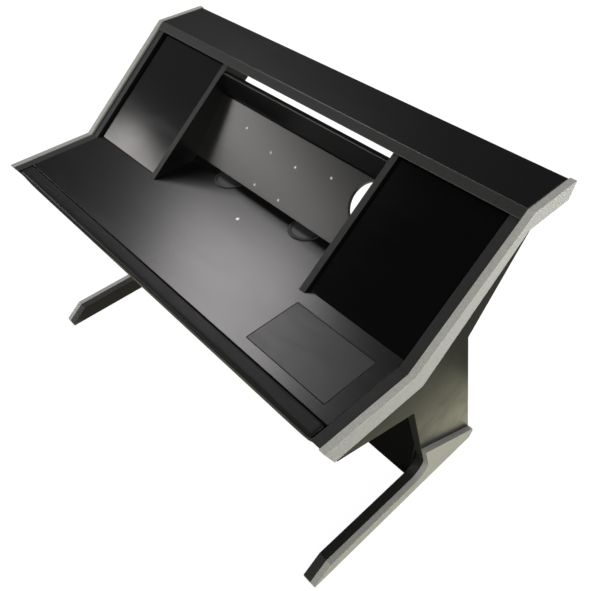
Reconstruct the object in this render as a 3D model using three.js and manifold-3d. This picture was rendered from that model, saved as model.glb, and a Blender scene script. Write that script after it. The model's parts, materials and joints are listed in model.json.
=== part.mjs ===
// Studio desk: two C-shaped side panels with silver trims carry a worktop, a raised rear
// shelf and two sloping bays, with a padded armrest along the front edge.
// Millimetres, +Z up, +X to the right of the person at the desk, +Y away from them.
// Outlines are drawn with Y measured back from the nose of the side trims and Z up from
// the floor. The finished group is moved so that its box is centred on the origin.

import * as THREE from 'three';
import Module from 'manifold-3d';
import { mergeVertices } from 'three/addons/utils/BufferGeometryUtils.js';
import { RoundedBoxGeometry } from 'three/addons/geometries/RoundedBoxGeometry.js';

const wasm = await Module();
wasm.setup();

// Whole desk
const OVERALL_WIDTH = 1370;
const ARM_HEIGHT = 703; // floor to the level top edge of the side trims
const SHELF_RISE = 267; // from there to the top of the rear shelf
const ARM_LENGTH = 271; // level top edge of a side trim, nose to foot of the slope
const SLOPE_RUN = 331.5; // how far back the slope goes while it climbs the rise
const BOARD = 18; // common board thickness
const SEAM = 0.3; // gap between pieces that touch
const EASE = 1; // softened board edges
const OVERRUN = 5; // cuts run this far past the faces that they open
const ARC_STEP = Math.PI / 12;

// Side trims: silver plates outside the side panels
const TRIM_THICKNESS = 18;
const TRIM_TOP_LENGTH = 165; // level top edge behind the slope
const TRIM_NOSE_DEPTH = 66;
const TRIM_NOSE_SETBACK = 32; // the nose rakes back this much over its depth
const TRIM_HEEL = 314; // where the level lower edge turns up
const TRIM_HEAD_DEPTH = 47; // depth of the trim under its level top
const TRIM_TAIL_SETBACK = 8.5;

// Side panels: C-shaped, thick, set in a little from the trims
const PANEL_THICKNESS = 27;
const ARM_REVEAL = 2; // panel and worktop below the trim's level edge
const SLOPE_REVEAL = 5.5; // square to the slope, trim edge to panel edge
const NOSE_REVEAL = 3;
const PANEL_NOSE_DEPTH = 122;
const COLUMN_LEAN = THREE.MathUtils.degToRad(72);
const WAIST_BACK = 508;
const WAIST_DROP = 67;
const WAIST_RADIUS = 8;
const SHOULDER_LEAN = THREE.MathUtils.degToRad(60);
const HORN_BACK = 747; // rear end of the panel, behind the side trim
const HORN_DROP = 41; // its lower edge, below the top of the shelf
const CUT_BACK = 337; // upper rear corner of the cut-out
const CUT_DROP = 218;
const CUT_TOP_RADIUS = 12;
const CUT_FOOT_RADIUS = 48;
const FOOT_HEIGHT = 60;
const FOOT_BEND = 52; // where the foot's top edge starts down to its nose
const FOOT_REACH = 8; // foot nose ahead of the trim nose
const FOOT_NOSE_HEIGHT = 12;
const FOOT_TAIL_HEIGHT = 32;
const FOOT_TAIL_SETBACK = 11;

// Foot trims: silver plates over the foot and the lower rear corner
const FOOT_TRIM_FRONT_HEIGHT = 218;
const FOOT_TRIM_BACK_HEIGHT = 48;

// Foot glides
const GLIDE_HEIGHT = 3;
const GLIDE_RADIUS = 11;
const GLIDE_FRONT = 60;
const GLIDE_BACK = 650;

// Worktop, its inlay, insert and cable grommets
const WORKTOP_FRONT = 53;
const WORKTOP_DEPTH = 461;
const WORKTOP_THICKNESS = 25;
const INLAY_WIDTH = 254;
const INLAY_DEPTH = 163;
const INLAY_INSET = 40; // from the worktop's right end to the inlay's edge
const INLAY_BACK = 165;
const INLAY_THICKNESS = 2;
const INLAY_RADIUS = 3;
const INSERT_BACK = 342;
const INSERT_BORE = 8.6;
const INSERT_FLANGE = 10.4;
const INSERT_HOLE = 4; // threaded
const INSERT_LENGTH = 14;
const INSERT_LIP = 1;
const GROMMET_APART = 323;
const GROMMET_BACK = 446;
const GROMMET_BORE = 80;
const GROMMET_FLANGE = 95;
const GROMMET_WALL = 1.8;
const GROMMET_SLEEVE = 22; // how far the ring reaches below the worktop's top
const GROMMET_RIM_HEIGHT = 4;
const GROMMET_EDGE_HEIGHT = 1.6;
const GROMMET_LEDGE = 4.4; // width of the ledge that the cap lies on
const GROMMET_LEDGE_DROP = 1.5; // its top, below the worktop's top
const GROMMET_FIT = 0.4;
const CAP_THICKNESS = 3;
const MOUTH_WIDTH = 18;
const MOUTH_LENGTH = 26;

// Armrest
const REST_HEIGHT = 60;
const REST_TOP_DROP = 1;
const REST_END_DRAW = 14; // the ends draw in over this length
const REST_END_SHARE = 0.84; // size of the end section beside the middle one
const REST_SQUARENESS = 5;
const REST_SECTION_POINTS = 28;
const REST_END_STATIONS = 6;
const RAIL_HEIGHT = 73; // front rail under the worktop

// Rear shelf, upper rail and tilted back panel
const SHELF_REVEAL = 1;
const SHELF_BACK = 762;
const SLOT_HEIGHT = 18; // see-through slot between shelf and upper rail
const UPPER_RAIL_HEIGHT = 62;
const BACK_PANEL_TILT = THREE.MathUtils.degToRad(50);
const BACK_PANEL_LIFT = 21.5; // worktop to its lower front edge
const BACK_PANEL_THICKNESS = 12;
const BACK_PANEL_STEP = 5; // its top front edge ahead of the upper rail
const SCREEN_INSERTS_APART = 100; // square pattern for a screen mount
const SCREEN_INSERTS_UP = 19.3; // lower pair above the panel's lower edge
const OUTER_INSERTS_APART = 342;
const OUTER_INSERTS_DOWN = 51;
const PANEL_INSERT_BORE = 7;
const PANEL_INSERT_LENGTH = 11;
const NOTCH_RADIUS = 64; // half-round cable notch at the right end
const NOTCH_DOWN = 62;

// Bays beside the back panel
const DIVIDER_THICKNESS = 19;
const DIVIDERS_APART = 631; // clear width between them
const BAY_DEPTH = 96.5; // square to the slope, trim edge to the divider's rear edge
const BAY_PANEL_RECESS = 10; // panel face below the carcass edge
const BAY_PANEL_THICKNESS = 12;
const BAY_PANEL_GAP = 1.5;
const BATTEN = 20; // square strips that the bay panels are fixed to

// Modesty panel and brackets
const MODESTY_THICKNESS = 25;
const MODESTY_BACK = 437.5;
const MODESTY_LIFT = 6;
const BRACKET_LEG = 40;
const BRACKET_THICKNESS = 3;
const BRACKET_LENGTH = 44;
const BRACKET_FRONT = 130;
const BRACKET_REAR = 485.5;

// Places worked out from the sizes above
const PANEL_OUTER = OVERALL_WIDTH / 2 - TRIM_THICKNESS - SEAM;
const PANEL_INNER = PANEL_OUTER - PANEL_THICKNESS;
const INSIDE_WIDTH = 2 * (PANEL_INNER - SEAM);
const SHELF_TOP = ARM_HEIGHT + SHELF_RISE;
const SHELF_UNDERSIDE = SHELF_TOP - BOARD;
const WORKTOP_TOP = ARM_HEIGHT - ARM_REVEAL;
const WORKTOP_UNDERSIDE = WORKTOP_TOP - WORKTOP_THICKNESS;
const UPPER_RAIL_TOP = SHELF_UNDERSIDE - SLOT_HEIGHT;
const UPPER_RAIL_BOTTOM = UPPER_RAIL_TOP - UPPER_RAIL_HEIGHT;
const BACK_PANEL_TOP = UPPER_RAIL_BOTTOM - SEAM;
const BACK_PANEL_BOTTOM = WORKTOP_TOP + BACK_PANEL_LIFT;
const BACK_PANEL_HEIGHT = (BACK_PANEL_TOP - BACK_PANEL_BOTTOM) / Math.sin(BACK_PANEL_TILT);
const SLOPE = Math.atan2(SHELF_RISE, SLOPE_RUN);
const NOSE_RAKE = TRIM_NOSE_SETBACK / TRIM_NOSE_DEPTH;
const DIVIDER_INNER = DIVIDERS_APART / 2;
const DIVIDER_OUTER = DIVIDER_INNER + DIVIDER_THICKNESS;
const INLAY_RIGHT = INSIDE_WIDTH / 2 - INLAY_INSET - INLAY_WIDTH / 2;

const SATIN_BLACK = { color: 0x1b1b1d, roughness: 0.42, metalness: 0 };
const GLOSS_BLACK = { color: 0x0c0c0e, roughness: 0.12, metalness: 0 };
const TRIM_SILVER = { color: 0xb4b2a2, roughness: 0.45, metalness: 0.3 };
const VINYL_BLACK = { color: 0x141416, roughness: 0.5, metalness: 0 };
const INLAY_BLACK = { color: 0x1f1f22, roughness: 0.7, metalness: 0 };
const PLASTIC_BLACK = { color: 0x161617, roughness: 0.35, metalness: 0 };
const STEEL = { color: 0xb8b8b8, roughness: 0.3, metalness: 1 };
const BRACKET_BLACK = { color: 0x222224, roughness: 0.5, metalness: 0.4 };

// Helpers

function piece(name, geometry, finish, x = 0, y = 0, z = 0) {
  const mesh = new THREE.Mesh(geometry, new THREE.MeshStandardMaterial(finish));
  mesh.name = name;
  mesh.position.set(x, y, z);
  return mesh;
}

// Y of the line that lies a given depth, square to the slope, under the trims' sloping edge.
function slopeY(depth, z) {
  return ARM_LENGTH + (z - ARM_HEIGHT) / Math.tan(SLOPE) + depth / Math.sin(SLOPE);
}

// Y of the raked nose line at a height.
function noseY(z) {
  return (ARM_HEIGHT - z) * NOSE_RAKE;
}

// Y of the column's leaning rear edge at a height.
function columnBackY(z) {
  return WAIST_BACK + (ARM_HEIGHT - WAIST_DROP - z) / Math.tan(COLUMN_LEAN);
}

// Y of the cut-out's leaning rear edge at a height.
function cutBackY(z) {
  return CUT_BACK + (ARM_HEIGHT - CUT_DROP - z) / Math.tan(COLUMN_LEAN);
}

// Points of the arc that rounds one corner between its two neighbours.
function roundedCorner(before, corner, after, radius) {
  const toBefore = before.clone().sub(corner).normalize();
  const toAfter = after.clone().sub(corner).normalize();
  const half = Math.acos(toBefore.dot(toAfter)) / 2;
  const toCentre = toBefore.clone().add(toAfter).normalize();
  const centre = corner.clone().addScaledVector(toCentre, radius / Math.sin(half));
  const start = corner.clone().addScaledVector(toBefore, radius / Math.tan(half)).sub(centre);
  const turn = (Math.PI - 2 * half) * -Math.sign(toBefore.cross(toAfter));
  const steps = Math.max(2, Math.ceil(Math.abs(turn) / ARC_STEP));
  const points = [];
  for (let i = 0; i <= steps; i++) {
    const spoke = start.clone().rotateAround(new THREE.Vector2(), (turn * i) / steps);
    points.push(centre.clone().add(spoke));
  }
  return points;
}

// A shape from corners given as [across, up] or [across, up, radius].
function outline(corners) {
  const at = (i) => new THREE.Vector2(...corners.at(i % corners.length).slice(0, 2));
  const points = corners.flatMap(([, , radius], i) => {
    if (!radius) return [at(i)];
    return roundedCorner(at(i - 1), at(i), at(i + 1), radius);
  });
  return new THREE.Shape(points);
}

// Extrudes a shape along its normal and softens the edges of both faces.
function slab(shape, thickness, ease = EASE) {
  const geometry = new THREE.ExtrudeGeometry(shape, {
    depth: thickness - 2 * ease,
    bevelEnabled: ease > 0,
    bevelThickness: ease,
    bevelSize: ease,
    bevelOffset: -ease,
    bevelSegments: 2,
    curveSegments: 12,
  });
  return geometry.translate(0, 0, ease);
}

// Stands a side-view outline up in the YZ plane, with its thickness along +X.
function sideSlab(shape, thickness, ease = EASE) {
  const toSide = new THREE.Matrix4().makeBasis(
    new THREE.Vector3(0, 1, 0),
    new THREE.Vector3(0, 0, 1),
    new THREE.Vector3(1, 0, 0),
  );
  return slab(shape, thickness, ease).applyMatrix4(toSide);
}

// A board with softened edges, standing on the middle of its underside.
function board(width, depth, height) {
  const geometry = new RoundedBoxGeometry(width, depth, height, 2, EASE);
  return geometry.translate(0, 0, height / 2);
}

function circle(x, y, radius) {
  return new THREE.Path().absarc(x, y, radius, 0, 2 * Math.PI, true);
}

function toSolid(geometry) {
  const plain = geometry.clone();
  plain.deleteAttribute('normal');
  plain.deleteAttribute('uv');
  const merged = mergeVertices(plain);
  const vertProperties = new Float32Array(merged.attributes.position.array);
  const triVerts = new Uint32Array(merged.index.array);
  return new wasm.Manifold(new wasm.Mesh({ numProp: 3, vertProperties, triVerts }));
}

function subtract(geometry, cutter) {
  const { vertProperties, triVerts } = toSolid(geometry).subtract(toSolid(cutter)).getMesh();
  const result = new THREE.BufferGeometry();
  result.setAttribute('position', new THREE.BufferAttribute(vertProperties, 3));
  result.setIndex(new THREE.BufferAttribute(triVerts, 1));
  return result;
}

// Revolves a closed profile of [radius, height] points about Z.
function revolve(profile, segments) {
  const points = profile.map(([radius, height]) => new THREE.Vector2(radius, height));
  return new THREE.LatheGeometry(points, segments).rotateX(Math.PI / 2);
}

// Left and right copies of a piece whose inner or outer face lies at a distance from centre.
function mirroredPair(name, makeGeometry, finish, outer, thickness) {
  return [
    piece(`${name}_left`, makeGeometry(), finish, -outer),
    piece(`${name}_right`, makeGeometry(), finish, outer - thickness),
  ];
}

// Side panels, trims and feet

function footCorners(tailTop) {
  return [
    [FOOT_BEND, FOOT_HEIGHT],
    [-FOOT_REACH, FOOT_NOSE_HEIGHT],
    [-FOOT_REACH, GLIDE_HEIGHT],
    [columnBackY(FOOT_TAIL_HEIGHT) - FOOT_TAIL_SETBACK, GLIDE_HEIGHT],
    [columnBackY(FOOT_TAIL_HEIGHT), FOOT_TAIL_HEIGHT],
    ...tailTop,
  ];
}

function sidePanel() {
  const top = WORKTOP_TOP;
  const armFront = ARM_HEIGHT - PANEL_NOSE_DEPTH;
  const hornTop = SHELF_UNDERSIDE - SEAM;
  const hornBottom = SHELF_TOP - HORN_DROP;
  const waist = ARM_HEIGHT - WAIST_DROP;
  return sideSlab(outline([
    [noseY(top) + NOSE_REVEAL, top],
    [noseY(armFront) + NOSE_REVEAL, armFront],
    [CUT_BACK, ARM_HEIGHT - CUT_DROP, CUT_TOP_RADIUS],
    [cutBackY(FOOT_HEIGHT), FOOT_HEIGHT, CUT_FOOT_RADIUS],
    ...footCorners([[WAIST_BACK, waist, WAIST_RADIUS]]),
    [WAIST_BACK + (hornBottom - waist) / Math.tan(SHOULDER_LEAN), hornBottom],
    [HORN_BACK, hornBottom],
    [HORN_BACK, hornTop],
    [slopeY(SLOPE_REVEAL, hornTop), hornTop],
    [slopeY(SLOPE_REVEAL, top), top],
  ]), PANEL_THICKNESS);
}

function sideTrim() {
  const top = SHELF_TOP;
  const lower = ARM_HEIGHT - TRIM_NOSE_DEPTH;
  const headBottom = top - TRIM_HEAD_DEPTH;
  const slopeEnd = ARM_LENGTH + SLOPE_RUN;
  const tail = slopeEnd + TRIM_TOP_LENGTH;
  return sideSlab(outline([
    [0, ARM_HEIGHT],
    [TRIM_NOSE_SETBACK, lower],
    [TRIM_HEEL, lower],
    [slopeEnd, headBottom],
    [tail - TRIM_TAIL_SETBACK, headBottom],
    [tail, top],
    [slopeEnd, top],
    [ARM_LENGTH, ARM_HEIGHT],
  ]), TRIM_THICKNESS);
}

function footTrim() {
  const front = FOOT_TRIM_FRONT_HEIGHT;
  const back = FOOT_TRIM_BACK_HEIGHT;
  return sideSlab(outline([
    [cutBackY(front), front],
    [cutBackY(FOOT_HEIGHT), FOOT_HEIGHT, CUT_FOOT_RADIUS],
    ...footCorners([[columnBackY(back), back]]),
  ]), TRIM_THICKNESS);
}

function footGlide() {
  const top = GLIDE_HEIGHT - SEAM;
  return revolve([[0, 0], [GLIDE_RADIUS - EASE, 0], [GLIDE_RADIUS, EASE], [GLIDE_RADIUS, top], [0, top]], 24);
}

function sides() {
  const group = new THREE.Group();
  group.add(...mirroredPair('side_panel', sidePanel, SATIN_BLACK, PANEL_OUTER, PANEL_THICKNESS));
  group.add(...mirroredPair('side_trim', sideTrim, TRIM_SILVER, OVERALL_WIDTH / 2, TRIM_THICKNESS));
  group.add(...mirroredPair('foot_trim', footTrim, TRIM_SILVER, OVERALL_WIDTH / 2, TRIM_THICKNESS));
  const middle = PANEL_OUTER - PANEL_THICKNESS / 2;
  for (const [side, x] of [['left', -middle], ['right', middle]]) {
    group.add(piece(`foot_glide_front_${side}`, footGlide(), PLASTIC_BLACK, x, GLIDE_FRONT));
    group.add(piece(`foot_glide_rear_${side}`, footGlide(), PLASTIC_BLACK, x, GLIDE_BACK));
  }
  return group;
}

// Worktop and what is let into it

function worktop() {
  const half = INSIDE_WIDTH / 2;
  const back = WORKTOP_FRONT + WORKTOP_DEPTH;
  const shape = outline([[-half, WORKTOP_FRONT], [half, WORKTOP_FRONT], [half, back], [-half, back]]);
  shape.holes.push(circle(-GROMMET_APART / 2, GROMMET_BACK, GROMMET_BORE / 2));
  shape.holes.push(circle(GROMMET_APART / 2, GROMMET_BACK, GROMMET_BORE / 2));
  shape.holes.push(circle(0, INSERT_BACK, INSERT_BORE / 2));
  const recess = slab(inlayShape(SEAM), INLAY_THICKNESS + SEAM + OVERRUN, 0);
  recess.translate(INLAY_RIGHT, INLAY_BACK, WORKTOP_THICKNESS - INLAY_THICKNESS - SEAM);
  return subtract(slab(shape, WORKTOP_THICKNESS), recess);
}

function inlayShape(clearance) {
  const x = INLAY_WIDTH / 2 + clearance;
  const y = INLAY_DEPTH / 2 + clearance;
  const radius = INLAY_RADIUS + clearance;
  return outline([[-x, -y, radius], [x, -y, radius], [x, y, radius], [-x, y, radius]]);
}

// A threaded bush whose flange lies on the worktop.
function worktopInsert() {
  const hole = INSERT_HOLE / 2;
  const body = INSERT_BORE / 2 - SEAM;
  const flange = INSERT_FLANGE / 2;
  return revolve([
    [hole, -INSERT_LENGTH],
    [body, -INSERT_LENGTH],
    [body, SEAM],
    [flange, SEAM],
    [flange, INSERT_LIP / 2],
    [flange - INSERT_LIP / 2, INSERT_LIP],
    [hole, INSERT_LIP],
    [hole, -INSERT_LENGTH],
  ], 24);
}

function grommetRing() {
  const sleeve = GROMMET_BORE / 2 - GROMMET_FIT;
  const inner = sleeve - GROMMET_WALL;
  const ledge = inner - GROMMET_LEDGE;
  const ledgeTop = -GROMMET_LEDGE_DROP;
  const ledgeBottom = ledgeTop - GROMMET_WALL;
  const flange = GROMMET_FLANGE / 2;
  return revolve([
    [ledge, ledgeBottom],
    [inner, ledgeBottom],
    [inner, -GROMMET_SLEEVE],
    [sleeve, -GROMMET_SLEEVE],
    [sleeve, SEAM],
    [flange, SEAM],
    [flange, GROMMET_EDGE_HEIGHT],
    [flange - GROMMET_EDGE_HEIGHT, 2 * GROMMET_EDGE_HEIGHT],
    [sleeve + GROMMET_WALL, GROMMET_RIM_HEIGHT],
    [sleeve, GROMMET_RIM_HEIGHT],
    [inner, 2 * GROMMET_EDGE_HEIGHT],
    [inner, ledgeTop],
    [ledge, ledgeTop],
    [ledge, ledgeBottom],
  ], 40);
}

// A disc with a round-ended mouth for the cables, open at the rear.
function grommetCap() {
  const radius = GROMMET_BORE / 2 - 2 * GROMMET_FIT - GROMMET_WALL;
  const half = MOUTH_WIDTH / 2;
  const mouthAngle = Math.asin(half / radius);
  const shape = new THREE.Shape();
  shape.absarc(0, 0, radius, Math.PI / 2 + mouthAngle, 2.5 * Math.PI - mouthAngle, false);
  shape.absarc(0, radius - MOUTH_LENGTH + half, half, 0, -Math.PI, true);
  return slab(shape, CAP_THICKNESS, EASE / 2);
}

function bracket() {
  const leg = BRACKET_LEG;
  const wall = BRACKET_THICKNESS;
  const corners = [[0, 0, EASE], [leg, 0], [leg, -wall], [wall, -wall, wall], [wall, -leg], [0, -leg]];
  const geometry = slab(outline(corners.reverse()), BRACKET_LENGTH, 0);
  return geometry.rotateX(Math.PI / 2).translate(0, BRACKET_LENGTH / 2, 0);
}

function worktopGroup() {
  const group = new THREE.Group();
  group.add(piece('worktop', worktop(), SATIN_BLACK, 0, 0, WORKTOP_UNDERSIDE));
  const inlay = slab(inlayShape(0), INLAY_THICKNESS, EASE / 2);
  const inlayZ = WORKTOP_TOP - INLAY_THICKNESS;
  group.add(piece('inlay_pad', inlay, INLAY_BLACK, INLAY_RIGHT, INLAY_BACK, inlayZ));
  group.add(piece('worktop_insert', worktopInsert(), STEEL, 0, INSERT_BACK, WORKTOP_TOP));
  for (const [side, x] of [['left', -GROMMET_APART / 2], ['right', GROMMET_APART / 2]]) {
    const capZ = WORKTOP_TOP - GROMMET_LEDGE_DROP + SEAM;
    group.add(piece(`grommet_ring_${side}`, grommetRing(), PLASTIC_BLACK, x, GROMMET_BACK, WORKTOP_TOP));
    group.add(piece(`grommet_cap_${side}`, grommetCap(), PLASTIC_BLACK, x, GROMMET_BACK, capZ));
  }
  const bracketX = PANEL_INNER - SEAM;
  const bracketZ = WORKTOP_UNDERSIDE - SEAM;
  for (const [place, y] of [['front', BRACKET_FRONT], ['rear', BRACKET_REAR]]) {
    group.add(piece(`bracket_${place}_left`, bracket(), BRACKET_BLACK, -bracketX, y, bracketZ));
    const right = bracket().rotateZ(Math.PI);
    group.add(piece(`bracket_${place}_right`, right, BRACKET_BLACK, bracketX, y, bracketZ));
  }
  return group;
}

// Armrest: a padded bolster between the side panels, backed by the worktop and front rail

// One section of the bolster: level on top, raked like the trims' noses in front.
function restSection(x, share) {
  const top = ARM_HEIGHT - REST_TOP_DROP;
  const middle = top - REST_HEIGHT / 2;
  const back = WORKTOP_FRONT - SEAM;
  const points = [];
  for (let i = 0; i < REST_SECTION_POINTS; i++) {
    const angle = (2 * Math.PI * i) / REST_SECTION_POINTS;
    const power = 2 / REST_SQUARENESS;
    const across = Math.sign(Math.cos(angle)) * Math.abs(Math.cos(angle)) ** power * share;
    const up = Math.sign(Math.sin(angle)) * Math.abs(Math.sin(angle)) ** power * share;
    const z = middle + (up * REST_HEIGHT) / 2;
    const front = noseY(z);
    points.push(new THREE.Vector3(x, front + ((back - front) * (across + 1)) / 2, z));
  }
  return points;
}

// Joins rings of points into one closed skin with a fan over each end.
function loft(rings) {
  const count = rings[0].length;
  const positions = rings.flat().flatMap((point) => point.toArray());
  const indices = [];
  for (let r = 0; r + 1 < rings.length; r++) {
    for (let i = 0; i < count; i++) {
      const a = r * count + i;
      const b = r * count + ((i + 1) % count);
      indices.push(a, b, a + count, b, b + count, a + count);
    }
  }
  for (const [r, flip] of [[0, true], [rings.length - 1, false]]) {
    const centre = rings[r].reduce((sum, point) => sum.add(point), new THREE.Vector3()).divideScalar(count);
    const middle = positions.length / 3;
    positions.push(...centre.toArray());
    for (let i = 0; i < count; i++) {
      const a = r * count + i;
      const b = r * count + ((i + 1) % count);
      indices.push(middle, flip ? b : a, flip ? a : b);
    }
  }
  const geometry = new THREE.BufferGeometry();
  geometry.setAttribute('position', new THREE.Float32BufferAttribute(positions, 3));
  geometry.setIndex(indices);
  return geometry;
}

function armrestPad() {
  const half = PANEL_INNER - SEAM;
  const rightEnd = [];
  for (let i = 0; i <= REST_END_STATIONS; i++) {
    const along = i / REST_END_STATIONS;
    const share = REST_END_SHARE + (1 - REST_END_SHARE) * Math.sqrt(1 - along * along);
    rightEnd.push([half - REST_END_DRAW * (1 - along), share]);
  }
  const leftEnd = rightEnd.map(([x, share]) => [-x, share]).reverse();
  return loft([...leftEnd, ...rightEnd].map(([x, share]) => restSection(x, share)));
}

function armrest() {
  const group = new THREE.Group();
  group.add(piece('armrest_pad', armrestPad(), VINYL_BLACK));
  const rail = board(INSIDE_WIDTH, BOARD, RAIL_HEIGHT);
  const railZ = WORKTOP_UNDERSIDE - SEAM - RAIL_HEIGHT;
  group.add(piece('front_rail', rail, SATIN_BLACK, 0, WORKTOP_FRONT + BOARD / 2, railZ));
  return group;
}

// Rear shelf, upper rail and tilted back panel

function topShelf() {
  return sideSlab(outline([
    [slopeY(SHELF_REVEAL, SHELF_TOP), SHELF_TOP, EASE],
    [slopeY(SHELF_REVEAL, SHELF_UNDERSIDE), SHELF_UNDERSIDE, EASE],
    [SHELF_BACK, SHELF_UNDERSIDE, EASE],
    [SHELF_BACK, SHELF_TOP, EASE],
  ]), 2 * PANEL_OUTER, EASE / 2);
}

// Places of the panel's inserts by name, X across and Y up its face from the lower front edge.
function panelInsertPlaces() {
  const screenX = SCREEN_INSERTS_APART / 2;
  const outerX = OUTER_INSERTS_APART / 2;
  const outerY = BACK_PANEL_HEIGHT - OUTER_INSERTS_DOWN;
  return [['left', -1], ['right', 1]].flatMap(([side, sign]) => [
    [`lower_${side}`, sign * screenX, SCREEN_INSERTS_UP],
    [`upper_${side}`, sign * screenX, SCREEN_INSERTS_UP + SCREEN_INSERTS_APART],
    [`outer_${side}`, sign * outerX, outerY],
  ]);
}

// A threaded bush, flush with the panel's face so that a screen mount lies flat on it.
function panelInsert() {
  const hole = INSERT_HOLE / 2;
  const body = PANEL_INSERT_BORE / 2 - SEAM;
  const length = PANEL_INSERT_LENGTH;
  return revolve([[hole, -length], [body, -length], [body, 0], [hole, 0], [hole, -length]], 24);
}

// Flat, with bores for the inserts and a half-round notch for cables at the right end.
function flatBackPanel(length) {
  const half = DIVIDER_INNER - SEAM;
  const shape = outline([[-half, 0], [half, 0], [half, length], [-half, length]]);
  shape.holes = panelInsertPlaces().map(([, x, y]) => circle(x, y, PANEL_INSERT_BORE / 2));
  const notchLength = BACK_PANEL_THICKNESS + 2 * OVERRUN;
  const notch = new THREE.CylinderGeometry(NOTCH_RADIUS, NOTCH_RADIUS, notchLength, 48);
  notch.rotateX(Math.PI / 2);
  notch.translate(DIVIDER_INNER, BACK_PANEL_HEIGHT - NOTCH_DOWN, BACK_PANEL_THICKNESS / 2);
  return subtract(slab(shape, BACK_PANEL_THICKNESS, 0), notch);
}

// Tilted, and cut level along its top so that it seats under the upper rail.
function backPanel(bottomY) {
  const extra = BACK_PANEL_THICKNESS / Math.tan(BACK_PANEL_TILT);
  const tilted = flatBackPanel(BACK_PANEL_HEIGHT + extra).translate(0, 0, -BACK_PANEL_THICKNESS);
  tilted.rotateX(BACK_PANEL_TILT).translate(0, bottomY, BACK_PANEL_BOTTOM);
  const above = new THREE.BoxGeometry(DIVIDERS_APART, BACK_PANEL_HEIGHT, BACK_PANEL_HEIGHT);
  above.translate(0, bottomY + BACK_PANEL_HEIGHT / 2, BACK_PANEL_TOP + BACK_PANEL_HEIGHT / 2);
  return subtract(tilted, above);
}

function backPanelGroup() {
  const group = new THREE.Group();
  const topY = slopeY(SLOPE_REVEAL, UPPER_RAIL_TOP) - BACK_PANEL_STEP;
  const bottomY = topY - (BACK_PANEL_TOP - BACK_PANEL_BOTTOM) / Math.tan(BACK_PANEL_TILT);
  group.add(piece('back_panel', backPanel(bottomY), SATIN_BLACK));
  for (const [place, x, up] of panelInsertPlaces()) {
    const y = bottomY + up * Math.cos(BACK_PANEL_TILT);
    const z = BACK_PANEL_BOTTOM + up * Math.sin(BACK_PANEL_TILT);
    const bush = piece(`panel_insert_${place}`, panelInsert(), STEEL, x, y, z);
    bush.rotation.x = BACK_PANEL_TILT;
    group.add(bush);
  }
  return group;
}

function shelfGroup() {
  const group = new THREE.Group();
  group.add(piece('top_shelf', topShelf(), SATIN_BLACK, -PANEL_OUTER));
  const rail = board(DIVIDERS_APART - 2 * SEAM, BOARD, UPPER_RAIL_HEIGHT);
  const railY = slopeY(SLOPE_REVEAL, UPPER_RAIL_TOP) + BOARD / 2;
  group.add(piece('upper_rear_rail', rail, SATIN_BLACK, 0, railY, UPPER_RAIL_BOTTOM));
  return group;
}

// Bays

// Side outline of a slab that lies along the slope between two depths and two heights.
function slopeSlab(frontDepth, backDepth, bottom, top) {
  return outline([
    [slopeY(frontDepth, bottom), bottom],
    [slopeY(backDepth, bottom), bottom],
    [slopeY(backDepth, top), top],
    [slopeY(frontDepth, top), top],
  ]);
}

function bays() {
  const group = new THREE.Group();
  const bottom = WORKTOP_TOP + SEAM;
  const top = SHELF_UNDERSIDE - SEAM;
  const panelFront = SLOPE_REVEAL + BAY_PANEL_RECESS;
  const panelBack = panelFront + BAY_PANEL_THICKNESS;
  const battenFront = panelBack + SEAM;
  const battenBack = battenFront + BATTEN;
  const bayOuter = PANEL_INNER - SEAM;
  const battenWidth = bayOuter - DIVIDER_OUTER - SEAM;
  const panelOuter = PANEL_INNER - BAY_PANEL_GAP;
  const panelWidth = panelOuter - DIVIDER_OUTER - BAY_PANEL_GAP;

  const divider = () => sideSlab(slopeSlab(SLOPE_REVEAL, BAY_DEPTH, bottom, top), DIVIDER_THICKNESS);
  group.add(...mirroredPair('bay_divider', divider, SATIN_BLACK, DIVIDER_OUTER, DIVIDER_THICKNESS));

  const panelShape = slopeSlab(panelFront, panelBack, bottom + BAY_PANEL_GAP, top - BAY_PANEL_GAP);
  const panel = () => sideSlab(panelShape, panelWidth);
  group.add(...mirroredPair('bay_panel', panel, GLOSS_BLACK, panelOuter, panelWidth));

  for (const [name, z] of [['bay_batten_lower', bottom], ['bay_batten_upper', top - BATTEN]]) {
    const batten = () => sideSlab(slopeSlab(battenFront, battenBack, z, z + BATTEN), battenWidth);
    group.add(...mirroredPair(name, batten, SATIN_BLACK, bayOuter, battenWidth));
  }
  return group;
}

function modestyPanel() {
  const height = WORKTOP_UNDERSIDE - SEAM - MODESTY_LIFT;
  const geometry = board(INSIDE_WIDTH, MODESTY_THICKNESS, height);
  const y = MODESTY_BACK + MODESTY_THICKNESS / 2;
  return piece('modesty_panel', geometry, SATIN_BLACK, 0, y, MODESTY_LIFT);
}

const desk = new THREE.Group();
desk.add(sides(), worktopGroup(), armrest(), shelfGroup(), backPanelGroup(), bays(), modestyPanel());
const box = new THREE.Box3().setFromObject(desk);
desk.position.y = -(box.min.y + box.max.y) / 2;

export default desk;
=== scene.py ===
"""Studio desk: materials, padded armrest, small fittings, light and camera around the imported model."""

import json
import math

import bmesh
import bpy
from mathutils import Matrix, Vector

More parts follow.
